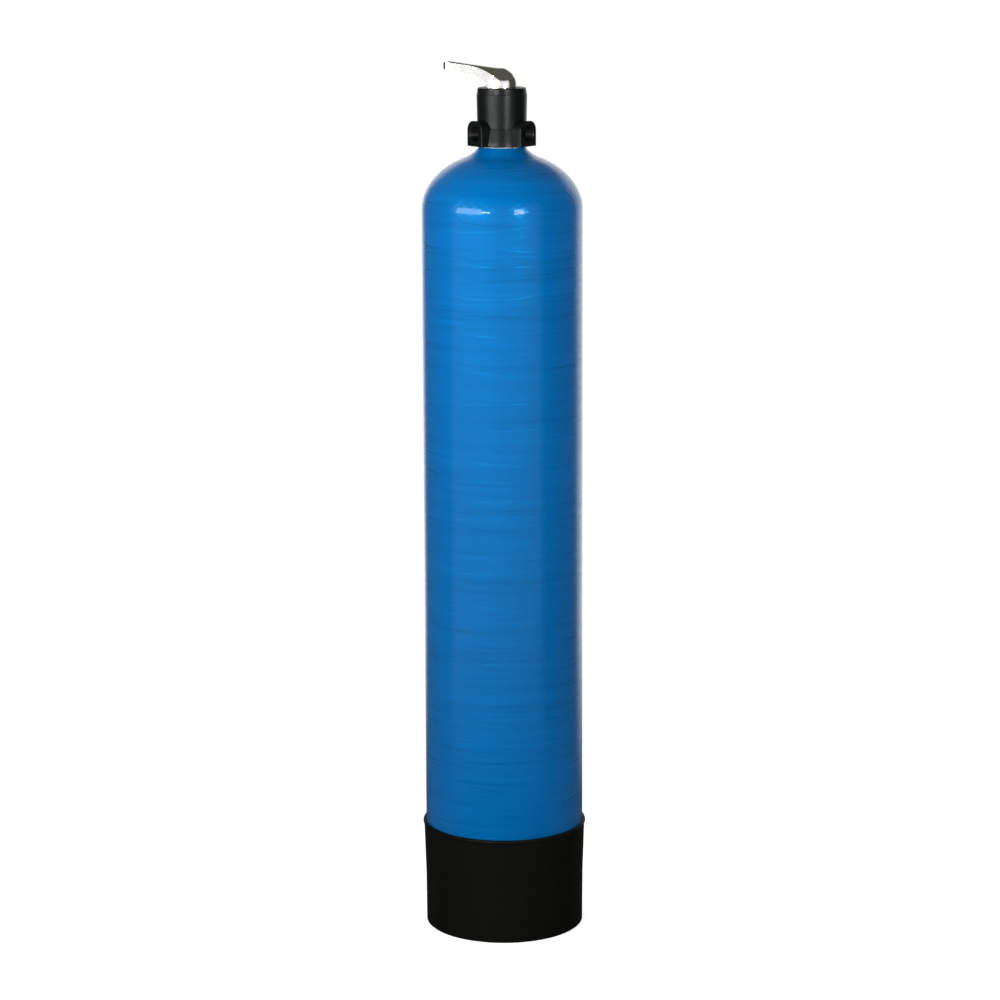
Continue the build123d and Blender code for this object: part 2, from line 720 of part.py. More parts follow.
with BuildPart() as bonnet:
    with BuildSketch(Plane.XZ):
        with BuildLine():
            Polyline(
                (SPINDLE_RADIUS + RUNNING_FIT, height(PLUG_BOTTOM)),
                (CHAMBER_RADIUS - plug_clearance, height(PLUG_BOTTOM)),
                (CHAMBER_RADIUS - plug_clearance, height(DRUM_TOP)),
                (bonnet_radius_low, height(DRUM_TOP)),
                (bonnet_radius_high, height(BONNET_TOP - bonnet_edge)),
            )
            RadiusArc(
                (bonnet_radius_high, height(BONNET_TOP - bonnet_edge)),
                (bonnet_radius_high - bonnet_edge, height(BONNET_TOP)),
                -bonnet_edge,
            )
            Polyline(
                (bonnet_radius_high - bonnet_edge, height(BONNET_TOP)),
                (index_outer, height(BONNET_TOP)),
                (index_outer, height(BONNET_TOP - bonnet_recess)),
                (index_inner, height(BONNET_TOP - bonnet_recess)),
                (index_inner, height(BONNET_TOP)),
                (SPINDLE_RADIUS + RUNNING_FIT, height(BONNET_TOP)),
                (SPINDLE_RADIUS + RUNNING_FIT, height(PLUG_BOTTOM)),
            )
        make_face()
    revolve(axis=Axis.Z)
    ring_groove(
        CHAMBER_RADIUS + 1, bonnet_seal_groove,
        bonnet_seal_height - bonnet_seal_half, bonnet_seal_height + bonnet_seal_half,
    )
    with BuildSketch(level(BONNET_TOP)):
        with PolarLocations(SCREW_CIRCLE, SCREW_COUNT):
            Circle(screw_hole_radius + 0.5)
    extrude(amount=DRUM_TOP - BONNET_TOP, mode=Mode.SUBTRACT)
    with BuildSketch(level(BONNET_TOP)):
        with PolarLocations(SCREW_CIRCLE, SCREW_COUNT):
            Circle(counterbore_radius)
    extrude(amount=-counterbore_depth, mode=Mode.SUBTRACT)
    with BuildSketch(level(BONNET_TOP)):
        with PolarLocations(DETENT_CIRCLE, 1, start_angle=DETENT_ANGLE):
            Circle(detent_hole_radius)
    extrude(amount=-detent_hole_depth, mode=Mode.SUBTRACT)

bonnet_seal_section = 1.15
bonnet_seal_radius = CHAMBER_RADIUS - bonnet_seal_section - 0.1

with BuildPart() as bonnet_oring:
    seal_ring(bonnet_seal_radius, bonnet_seal_section, bonnet_seal_height)

with BuildPart() as index_plate:
    with BuildSketch(level(BONNET_TOP - bonnet_recess)):
        Circle(index_outer - 0.1)
        Circle(index_inner + 0.1, mode=Mode.SUBTRACT)
    extrude(amount=bonnet_recess - 0.4)

screw_head_radius = 3.5
screw_head_height = 4.0
screw_shank_radius = 1.65
screw_shank_length = 20.0
socket_across = 3.0
socket_depth = 2.2

with BuildPart() as bonnet_screws:
    head_seat = BONNET_TOP - counterbore_depth
    with BuildSketch(level(head_seat)):
        with PolarLocations(SCREW_CIRCLE, SCREW_COUNT):
            Circle(screw_head_radius)
    extrude(amount=screw_head_height)
    with BuildSketch(level(head_seat)):
        with PolarLocations(SCREW_CIRCLE, SCREW_COUNT):
            Circle(screw_shank_radius)
    extrude(amount=-screw_shank_length)
    with BuildSketch(level(head_seat + screw_head_height)):
        with PolarLocations(SCREW_CIRCLE, SCREW_COUNT):
            RegularPolygon(socket_across / 2, 6, major_radius=False)
    extrude(amount=-socket_depth, mode=Mode.SUBTRACT)

# Sprung ball that clicks into the lever's three dimples

ball_top = HUB_BOTTOM - 0.08
ball_centre = ball_top - detent_ball_radius
spring_wire = 0.45
spring_coil_radius = 2.2
spring_turns = 4
spring_first_turn = BONNET_TOP - detent_hole_depth + spring_wire + 0.02
ball_seat_drop = sqrt((detent_ball_radius + spring_wire) ** 2 - spring_coil_radius**2)
spring_last_turn = ball_centre - ball_seat_drop - 0.05

with BuildPart() as detent_ball:
    with Locations(
        (
            DETENT_CIRCLE * cos(radians(DETENT_ANGLE)),
            DETENT_CIRCLE * sin(radians(DETENT_ANGLE)),
            height(ball_centre),
        )
    ):
        Sphere(detent_ball_radius)

with BuildPart() as detent_spring:
    spring_centre = (
        DETENT_CIRCLE * cos(radians(DETENT_ANGLE)),
        DETENT_CIRCLE * sin(radians(DETENT_ANGLE)),
        height(spring_first_turn),
    )
    spring_rise = spring_last_turn - spring_first_turn
    with BuildLine():
        coil = Helix(
            pitch=spring_rise / spring_turns,
            height=spring_rise,
            radius=spring_coil_radius,
            center=spring_centre,
        )
    with BuildSketch(Plane(origin=coil @ 0, z_dir=coil % 0)):
        Circle(spring_wire)
    sweep()

# Die-cast lever: a domed hub that caps the spindle and a hollow arm

lever_direction = Vector(cos(radians(LEVER_ANGLE)), sin(radians(LEVER_ANGLE)), 0)
lever_side = Plane(
    origin=(0, 0, NECK_TOP), x_dir=lever_direction, z_dir=lever_direction.cross(Vector(0, 0, 1))
)
lever_seen_from_above = Plane(
    origin=(0, 0, height(HUB_BOTTOM)), x_dir=lever_direction, z_dir=(0, 0, 1)
)
tip_radius = LEVER_TIP_WIDTH / 2
arm_root_radius = HUB_RADIUS - 0.7
arm_root_reach = HUB_RADIUS - 2.0
cap_height = 60.0
hub_shoulder = 114.0
hub_crown = 146.6
hub_profile = ((HUB_RADIUS, hub_shoulder), (28.1, 124.0), (24.8, 131.7), (17.2, 139.4), (9.0, 144.4))
arm_end = LEVER_REACH - 8.0
arm_above = 170.0
tip_top = 160.4
tip_nose_high = (109.3, 158.0)
tip_nose = 151.6
tip_nose_low = (109.6, 146.0)
tip_underside = (104.5, 143.4)
underside = ((87.5, 141.3), (73.0, 139.4), (59.0, 137.2), (48.6, 133.6), (40.7, 129.4))
lip_reach = 33.0
lip_height = 122.6
lip_bevel = 1.6
lip_drop = 2.6
pocket_start = 36.0
pocket_end = 106.0
pocket_low = 112.0
pocket_roof = ((36.0, 137.0), (45.0, 143.4), (75.0, 150.2), (103.0, 155.0), (106.0, 153.0))
socket_top = square_top + 0.2
socket_play = 0.1
boss_radius = 18.2
hub_wall_radius = 25.3
hub_pocket_top = 125.0
dimple_depth = 0.6
screw_seat = 138.0
screw_pocket_radius = 5.4
screw_head_play = 0.9
lever_screw_head = 4.5
lever_socket_radius = 2.0
lever_socket_depth = 2.5
crown_stations = (
    (0.0, 28.5, 121.5, 136.3, 146.0),
    (22.0, 25.4, 137.0, 144.9, 149.4),
    (45.0, 21.3, 148.2, 151.2, 153.0),
    (75.0, 15.9, 154.4, 156.3, 157.2),
    (112.0, 11.4, 159.6, 161.0, 161.4),
)


def lever_plan(inset):
    """Add the arm's outline seen from above, drawn in by an inset, to the sketch."""
    Circle(arm_root_radius - inset)
    with Locations((LEVER_REACH - tip_radius, 0)):
        Circle(tip_radius - inset)
    make_hull()


def across_lever(reach):
    """A plane square to the lever at a reach from the spindle, with its height upwards."""
    centre = lever_direction * reach + Vector(0, 0, NECK_TOP)
    return Plane(origin=centre, x_dir=Vector(0, 0, 1).cross(lever_direction), z_dir=lever_direction)


with BuildPart() as handle:
    for reach, half_width, shoulder, haunch, crown in crown_stations:
        with BuildSketch(across_lever(reach)):
            with BuildLine():
                Polyline(
                    (half_width, shoulder),
                    (half_width, HUB_BOTTOM),
                    (-half_width, HUB_BOTTOM),
                    (-half_width, shoulder),
                )
                Spline(
                    (-half_width, shoulder),
                    (-0.7 * half_width, haunch),
                    (0, crown),
                    (0.7 * half_width, haunch),
                    (half_width, shoulder),
                )
            make_face()
    loft()
    with BuildSketch(lever_side):
        with BuildLine():
            Polyline(
                (arm_root_reach, HUB_BOTTOM),
                (0, HUB_BOTTOM),
                (0, arm_above),
                (arm_end, arm_above),
                (arm_end, tip_top),
            )
            ThreePointArc((arm_end, tip_top), tip_nose_high, (LEVER_REACH, tip_nose))
            ThreePointArc((LEVER_REACH, tip_nose), tip_nose_low, tip_underside)
            Spline(tip_underside, *underside, (lip_reach, lip_height))
            Polyline(
                (lip_reach, lip_height),
                (lip_reach - lip_bevel, lip_height - lip_drop),
                (arm_root_reach, lip_height - lip_drop),
                (arm_root_reach, HUB_BOTTOM),
            )
        make_face()
    extrude(amount=HUB_RADIUS + 2, both=True, mode=Mode.INTERSECT)
    with BuildSketch(lever_seen_from_above):
        lever_plan(0)
    extrude(amount=cap_height, mode=Mode.INTERSECT)
    with BuildSketch(lever_side):
        with BuildLine():
            Polyline(
                (0, hub_crown), (0, HUB_BOTTOM), (-HUB_RADIUS, HUB_BOTTOM), (-HUB_RADIUS, hub_shoulder)
            )
            Spline(
                *[(-radius, above_neck) for radius, above_neck in hub_profile],
                (0, hub_crown),
                tangents=[(0, 1), (1, 0.1)],
            )
        make_face()
    revolve(axis=Axis.Z)
    with BuildSketch(lever_side, mode=Mode.PRIVATE) as arm_pocket:
        with BuildLine():
            Polyline(
                (pocket_start, pocket_low),
                *pocket_roof,
                (pocket_end, pocket_low),
                (pocket_start, pocket_low),
            )
        make_face()
    with BuildSketch(lever_seen_from_above, mode=Mode.PRIVATE) as pocket_plan:
        lever_plan(LEVER_WALL)
    arm_pocket_side = extrude(
        arm_pocket.sketch, amount=HUB_RADIUS, both=True, mode=Mode.PRIVATE
    )
    arm_pocket_plan = extrude(pocket_plan.sketch, amount=cap_height, mode=Mode.PRIVATE)
    add(arm_pocket_side & arm_pocket_plan, mode=Mode.SUBTRACT)
    with BuildSketch(level(HUB_BOTTOM)):
        Circle(hub_wall_radius)
        Circle(boss_radius, mode=Mode.SUBTRACT)
    extrude(amount=hub_pocket_top - HUB_BOTTOM, mode=Mode.SUBTRACT)
    with BuildSketch(level(HUB_BOTTOM)):
        Rectangle(SPINDLE_SQUARE + socket_play, SPINDLE_SQUARE + socket_play)
    extrude(amount=socket_top - HUB_BOTTOM, mode=Mode.SUBTRACT)
    with BuildSketch(level(socket_top)):
        Circle(lever_screw_radius + 0.3)
    extrude(amount=screw_seat - socket_top, mode=Mode.SUBTRACT)
    with BuildSketch(level(screw_seat)):
        Circle(screw_pocket_radius)
    extrude(amount=cap_height, mode=Mode.SUBTRACT)
    dimple_centre = HUB_BOTTOM - detent_ball_radius + dimple_depth
    for stop in LEVER_STOPS:
        with Locations(
            (
                DETENT_CIRCLE * cos(radians(DETENT_ANGLE - stop)),
                DETENT_CIRCLE * sin(radians(DETENT_ANGLE - stop)),
                height(dimple_centre),
            )
        ):
            Sphere(detent_ball_radius, mode=Mode.SUBTRACT)

with BuildPart() as handle_screw:
    with BuildSketch(level(screw_seat)):
        Circle(screw_pocket_radius - screw_head_play)
    extrude(amount=lever_screw_head)
    with BuildSketch(level(screw_seat)):
        Circle(lever_screw_radius - 0.05)
    extrude(amount=-(screw_seat - square_top + lever_screw_depth - 3))
    with BuildSketch(level(screw_seat + lever_screw_head)):
        RegularPolygon(lever_socket_radius, 6, major_radius=False)
    extrude(amount=-lever_socket_depth, mode=Mode.SUBTRACT)

finish(tank_winding.part, "tank_winding")
finish(tank_liner.part, "tank_liner")
finish(neck_insert.part, "neck_insert")
finish(base_boot.part, "base_boot")
finish(gravel_bed.part, "gravel_bed")
finish(filter_media.part, "filter_media")
finish(riser_tube.part, "riser_tube")
finish(bottom_strainer.part, "bottom_strainer")
finish(top_strainer.part, "top_strainer")
finish(valve_body.part, "valve_body")
finish(neck_oring.part, "neck_oring")
finish(riser_oring.part, "riser_oring")
finish(disc_gasket.part, "disc_gasket")
finish(fixed_disc.part, "fixed_disc")
finish(moving_disc.part, "moving_disc")
finish(spindle.part, "spindle")
finish(spindle_orings.part, "spindle_orings")
finish(thrust_washer.part, "thrust_washer")
finish(bonnet.part, "bonnet")
finish(bonnet_oring.part, "bonnet_oring")
finish(index_plate.part, "index_plate")
finish(bonnet_screws.part, "bonnet_screws")
finish(detent_ball.part, "detent_ball")
finish(detent_spring.part, "detent_spring")
finish(handle.part, "handle")
finish(handle_screw.part, "handle_screw")
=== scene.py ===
"""Dresses the whole house water filter: its finishes, winding, pipe threads, dial marks and stage."""

import json
import math
import random

import bmesh
import bpy
from bpy.props import FloatProperty, FloatVectorProperty, IntProperty, PointerProperty
from mathutils import Matrix, Vector


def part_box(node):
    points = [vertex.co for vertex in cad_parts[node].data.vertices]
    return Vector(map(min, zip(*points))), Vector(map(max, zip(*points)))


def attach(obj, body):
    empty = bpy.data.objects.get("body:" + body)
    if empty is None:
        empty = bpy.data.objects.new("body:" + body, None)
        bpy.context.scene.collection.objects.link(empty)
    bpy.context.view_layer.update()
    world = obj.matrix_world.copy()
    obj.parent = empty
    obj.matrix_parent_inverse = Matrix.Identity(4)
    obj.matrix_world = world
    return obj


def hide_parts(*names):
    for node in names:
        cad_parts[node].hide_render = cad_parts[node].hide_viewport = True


bl_info = {
    "name": "Whole house water filter",
    "version": (1, 0, 0),
    "blender": (4, 5, 0),
    "location": "View3D > Sidebar > Water filter",
    "description": "Finishes, winding and stage of a tank water filter with a lever valve",
    "category": "Object",
}

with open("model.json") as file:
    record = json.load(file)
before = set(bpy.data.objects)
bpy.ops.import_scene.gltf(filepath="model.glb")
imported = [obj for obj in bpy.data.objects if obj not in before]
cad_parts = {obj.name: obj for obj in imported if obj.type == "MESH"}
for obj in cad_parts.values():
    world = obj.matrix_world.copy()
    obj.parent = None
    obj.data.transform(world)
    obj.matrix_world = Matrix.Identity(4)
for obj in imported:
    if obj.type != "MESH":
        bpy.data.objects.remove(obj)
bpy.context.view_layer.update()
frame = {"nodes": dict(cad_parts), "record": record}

MM = 0.001
TANK_LOW, TANK_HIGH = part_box("tank_winding")
BOOT_LOW, BOOT_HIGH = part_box("base_boot")
VALVE_LOW, VALVE_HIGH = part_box("valve_body")
BONNET_LOW, BONNET_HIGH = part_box("bonnet")
INSERT_LOW, INSERT_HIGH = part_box("neck_insert")
PLATE_LOW, PLATE_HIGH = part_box("index_plate")
MOUNTS = {mount["name"]: mount for mount in frame["record"]["mounts"]}

TANK_RADIUS = TANK_HIGH.x
NECK_TOP = INSERT_HIGH.z
WALL = 3.0 * MM
DOME_RISE = 112.0 * MM
DOME_CENTRE = NECK_TOP - 122.0 * MM
BOWL_DROP = 105.0 * MM
BOWL_CENTRE = TANK_LOW.z + BOWL_DROP
NECK_RADIUS = 44.4 * MM
NECK_BORE = 40.0 * MM
FLARE_RADIUS = 70.0 * MM


# Sizes and colours that a user may change


class TankSettings(bpy.types.PropertyGroup):
    """Finish of the wound tank and its boot."""

    blue: FloatVectorProperty(
        name="Tank blue", description="Colour of the wound glass fibre under its clear coat",
        subtype="COLOR", size=3, min=0, max=1, default=(0.0, 0.098, 0.300),
    )
    band_pitch: FloatProperty(
        name="Band pitch", description="Height between two turns of the hoop winding",
        unit="LENGTH", default=0.021,
    )
    ripple: FloatProperty(
        name="Ripple", description="Height of the winding's ripples in the wall",
        unit="LENGTH", default=0.00012,
    )
    grain: FloatProperty(
        name="Grain", description="Height of the fibre bundles' relief in the clear coat",
        unit="LENGTH", default=0.0022,
    )
    turns: IntProperty(
        name="Segments", description="Faces round the tank", default=200, min=24, max=256,
    )
    boot: FloatVectorProperty(
        name="Boot black", description="Colour of the moulded boot",
        subtype="COLOR", size=3, min=0, max=1, default=(0.0034, 0.0036, 0.0026),
    )


class ValveSettings(bpy.types.PropertyGroup):
    """Finish of the valve head and its lever."""

    black: FloatVectorProperty(
        name="Valve black", description="Colour of the moulded valve head",
        subtype="COLOR", size=3, min=0, max=1, default=(0.0036, 0.0042, 0.0042),
    )
    chrome: FloatVectorProperty(
        name="Chrome", description="Colour of the lever's plating",
        subtype="COLOR", size=3, min=0, max=1, default=(0.82, 0.81, 0.79),
    )
    thread_pitch: FloatProperty(
        name="Thread pitch", description="Height of one turn of a port's pipe thread",
        unit="LENGTH", default=0.00231,
    )
    thread_depth: FloatProperty(
        name="Thread crest", description="How far a thread's crest stands into the port",
        unit="LENGTH", default=0.0007,
    )


class StageSettings(bpy.types.PropertyGroup):
    """Camera and light."""

    distance: FloatProperty(
        name="Distance", description="From the tank's axis to the camera, level",
        unit="LENGTH", default=6.0,
    )
    camera_height: FloatProperty(
        name="Camera height", description="Height of the camera above the floor",
        unit="LENGTH", default=2.07,
    )
    azimuth: FloatProperty(
        name="Azimuth", description="Turn of the camera round the tank, from the -Y side",
        subtype="ANGLE", default=math.radians(36.6),
    )
    pitch: FloatProperty(
        name="Pitch", description="How far the camera looks down",
        subtype="ANGLE", default=math.radians(10.2),
    )
    lens: FloatProperty(name="Lens", description="Focal length in millimetres", default=113.4)


# Shader sums written as expressions


class Wire:
    """A shader socket that takes part in sums: each sum adds its Math node."""

    def __init__(self, recipe, socket):
        self.recipe = recipe
        self.socket = socket

    def sum(self, operation, first, second=0.0):
        return self.recipe.sum(operation, first, second)

    def __add__(self, other):
        return self.sum("ADD", self, other)

    def __radd__(self, other):
        return self.sum("ADD", other, self)

    def __sub__(self, other):
        return self.sum("SUBTRACT", self, other)

    def __rsub__(self, other):
        return self.sum("SUBTRACT", other, self)

    def __mul__(self, other):
        return self.sum("MULTIPLY", self, other)

    def __rmul__(self, other):
        return self.sum("MULTIPLY", other, self)


class Recipe:
    """A material under construction."""

    def __init__(self, name):
        self.material = bpy.data.materials.new(name)
        self.material.use_nodes = True
        self.tree = self.material.node_tree
        self.tree.nodes.clear()
        self.output = self.tree.nodes.new("ShaderNodeOutputMaterial")

    def node(self, kind, settings=None, sockets=None, out=0):
        """Add a node, set it up, feed its sockets and return one of its outputs."""
        made = self.tree.nodes.new("ShaderNode" + kind)
        for key, value in (settings or {}).items():
            if key == "stops":
                self.set_stops(made.color_ramp, value)
            else:
                setattr(made, key, value)
        for key, value in (sockets or {}).items():
            if isinstance(value, Wire):
                self.tree.links.new(value.socket, made.inputs[key])
            else:
                made.inputs[key].default_value = value
        return Wire(self, made.outputs[out])

    def sum(self, operation, first, second=0.0):
        return self.node("Math", {"operation": operation}, {0: first, 1: second})

    @staticmethod
    def set_stops(ramp, stops):
        while len(ramp.elements) < len(stops):
            ramp.elements.new(1.0)
        for element, (position, colour) in zip(ramp.elements, stops):
            element.position = position
            element.color = (*colour, 1.0) if len(colour) == 3 else colour

    def place(self, stretch=(1, 1, 1), turn=(0, 0, 0), shift=(0, 0, 0)):
        """Coordinates fixed to the piece, stretched and turned."""
        spot = self.node("TexCoord", out="Object")
        return self.node(
            "Mapping", {}, {"Vector": spot, "Scale": stretch, "Rotation": turn, "Location": shift}
        )

    def noise(self, spot, scale, detail=2.0, rough=0.5, distort=0.0):
        return self.node(
            "TexNoise", {},
            {"Vector": spot, "Scale": scale, "Detail": detail, "Roughness": rough,
             "Distortion": distort},
        )

    def ramp(self, factor, *stops, smooth="EASE"):
        made = self.node("ValToRGB", {"stops": stops}, {"Fac": factor})
        made.socket.node.color_ramp.interpolation = smooth
        return made

    def level(self, factor, low, high, to_low=0.0, to_high=1.0):
        """Rescale a number from one range to another."""
        return self.node(
            "MapRange", {},
            {"Value": factor, "From Min": low, "From Max": high, "To Min": to_low,
             "To Max": to_high},
        )

    def blend(self, factor, first, second):
        """Mix two colours."""
        return self.node("Mix", {"data_type": "RGBA"}, {0: factor, 6: first, 7: second}, out=2)

    def bump(self, height, distance, strength=1.0, under=None):
        sockets = {"Height": height, "Distance": distance, "Strength": strength}
        if under is not None:
            sockets["Normal"] = under
        return self.node("Bump", {}, sockets)

    def surface(self, sockets):
        """Finish the material with a Principled surface."""
        shader = self.node("BsdfPrincipled", {}, sockets)
        self.tree.links.new(shader.socket, self.output.inputs["Surface"])
        return self.material


def rgb(colour):
    """A colour with full alpha."""
    return (*colour, 1.0)


def shade(colour, factor):
    """A colour made lighter or darker."""
    return tuple(min(1.0, part * factor) for part in colour)


# Finishes


def wound_fibre(settings):
    """Blue wound glass fibre under a clear coat: hoops on the wall, crossed turns on the dome."""
    mat = Recipe("wound_blue_fibre")
    blue = settings.blue
    spot = mat.place((1, 1, 1))
    east = mat.node("SeparateXYZ", {}, {0: spot}, out="X")
    north = mat.node("SeparateXYZ", {}, {0: spot}, out="Y")
    rise = mat.node("SeparateXYZ", {}, {0: spot}, out="Z")
    around = mat.sum("ARCTAN2", north, east)
    stray = mat.noise(mat.place((1, 1, 1)), 9.0, 3.0, 0.6) * 14.0
    hoops = mat.noise(mat.place((2.0, 2.0, 60.0)), 1.0, 3.0, 0.6)
    bundles = mat.noise(mat.place((5.0, 5.0, 210.0), shift=(3.1, 0.4, 0.2)), 1.0, 2.0, 0.5)
    ridges = mat.noise(mat.place((4.0, 4.0, 30.0), shift=(0.7, 5.3, 1.9)), 1.0, 1.0, 0.4)
    cloud = mat.noise(mat.place((6.0, 6.0, 3.0)), 1.0, 2.0, 0.5)
    turns_left = mat.sum("SINE", rise * 420.0 + around * 46.0 + stray)
    turns_right = mat.sum("SINE", rise * 420.0 - around * 46.0 + stray * 1.3)
    on_dome = mat.level(rise, DOME_CENTRE - 0.012, DOME_CENTRE + 0.004)
    off_neck = mat.level(rise, DOME_CENTRE + 0.05, DOME_CENTRE + 0.085, 1.0, 0.15)
    tone = mat.ramp(
        hoops * 0.5 + bundles * 0.3 + cloud * 0.2,
        (0.34, shade(blue, 0.86)), (0.50, blue), (0.66, shade(blue, 1.12)),
    )
    steps = mat.level(ridges, 0.49, 0.53) * 0.16 * (1.0 - on_dome)
    crossed = (turns_left + turns_right) * 0.035 * on_dome * off_neck
    height = hoops * 0.10 + bundles * 0.05 + steps + crossed
    relief = mat.bump(height, settings.grain)
    return mat.surface({
        "Base Color": tone,
        "Roughness": mat.level(bundles, 0.3, 0.7, 0.26, 0.40),
        "Specular IOR Level": 0.5,
        "Specular Tint": (0.0, 0.45, 0.95, 1.0),
        "Coat Weight": 0.9,
        "Coat Roughness": 0.07,
        "Coat IOR": 1.22,
        "Normal": relief,
    })


def moulded_black(name, colour, roughness, texture, specular):
    """Moulded plastic with a fine eggshell texture and faint rub marks."""
    mat = Recipe(name)
    pores = mat.noise(mat.place((1, 1, 1)), 1400.0, 2.0, 0.5)
    waves = mat.noise(mat.place((1, 1, 1)), 26.0, 3.0, 0.5)
    rubs = mat.noise(mat.place((14.0, 14.0, 90.0)), 1.0, 4.0, 0.7)
    rub_mask = mat.level(rubs, 0.60, 0.78)
    tone = mat.blend(rub_mask, rgb(colour), rgb(shade(colour, 1.7)))
    rough = mat.level(waves, 0.3, 0.7, roughness - 0.04, roughness + 0.05)
    relief = mat.bump(pores * 0.5 + waves * 0.5, texture)
    return mat.surface({
        "Base Color": tone,
        "Roughness": rough + rub_mask * 0.08,
        "Specular IOR Level": specular,
        "Normal": relief,
    })


def plated_chrome(settings):
    """Polished plating over a casting, with a slow waviness and faint polishing marks."""
    mat = Recipe("lever_chrome")
    waves = mat.noise(mat.place((1, 1, 1)), 34.0, 2.0, 0.5)
    marks = mat.noise(mat.place((300.0, 300.0, 300.0)), 1.0, 3.0, 0.6)
    return mat.surface({
        "Base Color": mat.ramp(
            waves, (0.35, shade(settings.chrome, 0.96)), (0.65, settings.chrome)
        ),
        "Metallic": 1.0,
        "Roughness": mat.level(marks, 0.3, 0.7, 0.05, 0.10),
        "Normal": mat.bump(waves, 0.0004),
    })


def speckled(name, dark, pale, scale, roughness, relief, metallic=0.0):
    """A plain finish with a fine mottle of two tones."""
    mat = Recipe(name)
    mottle = mat.noise(mat.place((1, 1, 1)), scale, 4.0, 0.6)
    return mat.surface({
        "Base Color": mat.ramp(mottle, (0.35, dark), (0.65, pale)),
        "Metallic": metallic,
        "Roughness": mat.level(mottle, 0.3, 0.7, roughness - 0.05, roughness + 0.05),
        "Normal": mat.bump(mottle, relief),
    })


def grains(name, dark, pale, scale, roughness):
    """A bed of loose grains: a cell pattern with its own height, pale in each grain's middle and
    darker towards its edge as painted shade between the grains.
    """
    mat = Recipe(name)
    cells = mat.node(
        "TexVoronoi", {"feature": "F1"}, {"Vector": mat.place((1, 1, 1)), "Scale": scale}
    )
    return mat.surface({
        # Painted shade: each cell darkens from its middle to its edge, standing in for the shade
        # between grains.
        "Base Color": mat.ramp(cells, (0.10, pale), (0.75, dark)),
        "Roughness": mat.level(cells, 0.0, 0.8, roughness, roughness + 0.15),
        "Normal": mat.bump(1.0 - cells, 0.002),
    })


def put_on(obj, material):
    """Give a piece one material."""
    obj.data.materials.clear()
    obj.data.materials.append(material)


# Mesh helpers


def as_object(shape, name, body, material):
    """Turn a bmesh into a smooth piece that rides on a body."""
    mesh = bpy.data.meshes.new(name)
    shape.to_mesh(mesh)
    shape.free()
    obj = bpy.data.objects.new(name, mesh)
    bpy.context.collection.objects.link(obj)
    put_on(obj, material)
    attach(obj, body)
    return obj


def sharpen(shape, angle):
    """Smooth faces, with the edges that turn more than the angle kept sharp."""
    for face in shape.faces:
        face.smooth = True
    for edge in shape.edges:
        if len(edge.link_faces) == 2:
            edge.smooth = edge.calc_face_angle(0.0) < angle


def spun(profile, segments, closed=True):
    """Spin a profile of (radius, height) points into a closed skin."""
    shape = bmesh.new()
    ring = [shape.verts.new((radius, 0.0, z)) for radius, z in profile]
    edges = [shape.edges.new(pair) for pair in zip(ring, ring[1:])]
    if closed:
        edges.append(shape.edges.new((ring[-1], ring[0])))
    bmesh.ops.spin(
        shape, geom=ring + edges, axis=(0, 0, 1), cent=(0, 0, 0), steps=segments,
        angle=math.tau, use_merge=True,
    )
    bmesh.ops.remove_doubles(shape, verts=shape.verts, dist=1e-6)
    bmesh.ops.recalc_face_normals(shape, faces=shape.faces)
    return shape


def smooth_copy(node, material, angle=math.radians(32)):
    """A welded, smoothly shaded copy of a solid that stands for it."""
    source = frame["nodes"][node]
    shape = bmesh.new()
    shape.from_mesh(source.data)
    bmesh.ops.remove_doubles(shape, verts=shape.verts, dist=2e-6)
    sharpen(shape, angle)
    body = next(name for name, nodes in BODY_NODES.items() if node in nodes)
    copy = as_object(shape, node + "_finish", body, material)
    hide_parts(node)
    return copy


LEVER_ANGLE = math.radians(215.0)
LEVER_STOPS = tuple(math.radians(stop) for stop in (0.0, -60.0, 120.0))
BODY_NODES = frame["record"]["behaviour"]["bodies"]
SLOTS = {part["node"]: part["material_slot"] for part in frame["record"]["subparts"]}


def tank_profile(rows_apart):
    """Outline of the wound shell, outside from the bottom up and inside back down."""
    points = []
    bowl_rows = 18
    for row in range(bowl_rows + 1):
        turn = math.radians(-90 + 90 * row / bowl_rows)
        points.append(
            (TANK_RADIUS * math.cos(turn), BOWL_CENTRE + BOWL_DROP * math.sin(turn))
        )
    straight = DOME_CENTRE - BOWL_CENTRE
    rows = round(straight / rows_apart)
    points += [(TANK_RADIUS, BOWL_CENTRE + straight * row / rows) for row in range(1, rows)]
    last = math.acos(FLARE_RADIUS / TANK_RADIUS)
    dome_rows = 34
    for row in range(dome_rows + 1):
        turn = last * row / dome_rows
        points.append(
            (TANK_RADIUS * math.cos(turn), DOME_CENTRE + DOME_RISE * math.sin(turn))
        )
    points += neck_flare(points[-1])
    points.append((NECK_BORE, TANK_HIGH.z))
    inner_radius = TANK_RADIUS - WALL
    inner_rise = DOME_RISE - WALL
    first = math.acos(NECK_BORE / inner_radius)
    inner_rows = 10
    for row in range(inner_rows + 1):
        turn = first * (1 - row / inner_rows)
        points.append(
            (inner_radius * math.cos(turn), DOME_CENTRE + inner_rise * math.sin(turn))
        )
    for row in range(inner_rows + 1):
        turn = math.radians(-90 * row / inner_rows)
        points.append(
            (inner_radius * math.cos(turn), BOWL_CENTRE + (BOWL_DROP - WALL) * math.sin(turn))
        )
    return points


def neck_flare(start):
    """The hollow round from the dome up to the neck, as points on an arc."""
    radius, low = start
    slope = math.atan(DOME_RISE / TANK_RADIUS * radius / math.sqrt(TANK_RADIUS**2 - radius**2))
    inward = radius - NECK_RADIUS
    upward = TANK_HIGH.z - low
    half = math.atan2(upward, inward) - slope
    curve = math.hypot(inward, upward) / (2 * math.sin(half))
    steps = 10
    points = []
    for step in range(1, steps + 1):
        turn = slope + 2 * half * step / steps
        points.append((
            radius - curve * (math.sin(turn) - math.sin(slope)),
            low + curve * (math.cos(slope) - math.cos(turn)),
        ))
    return points


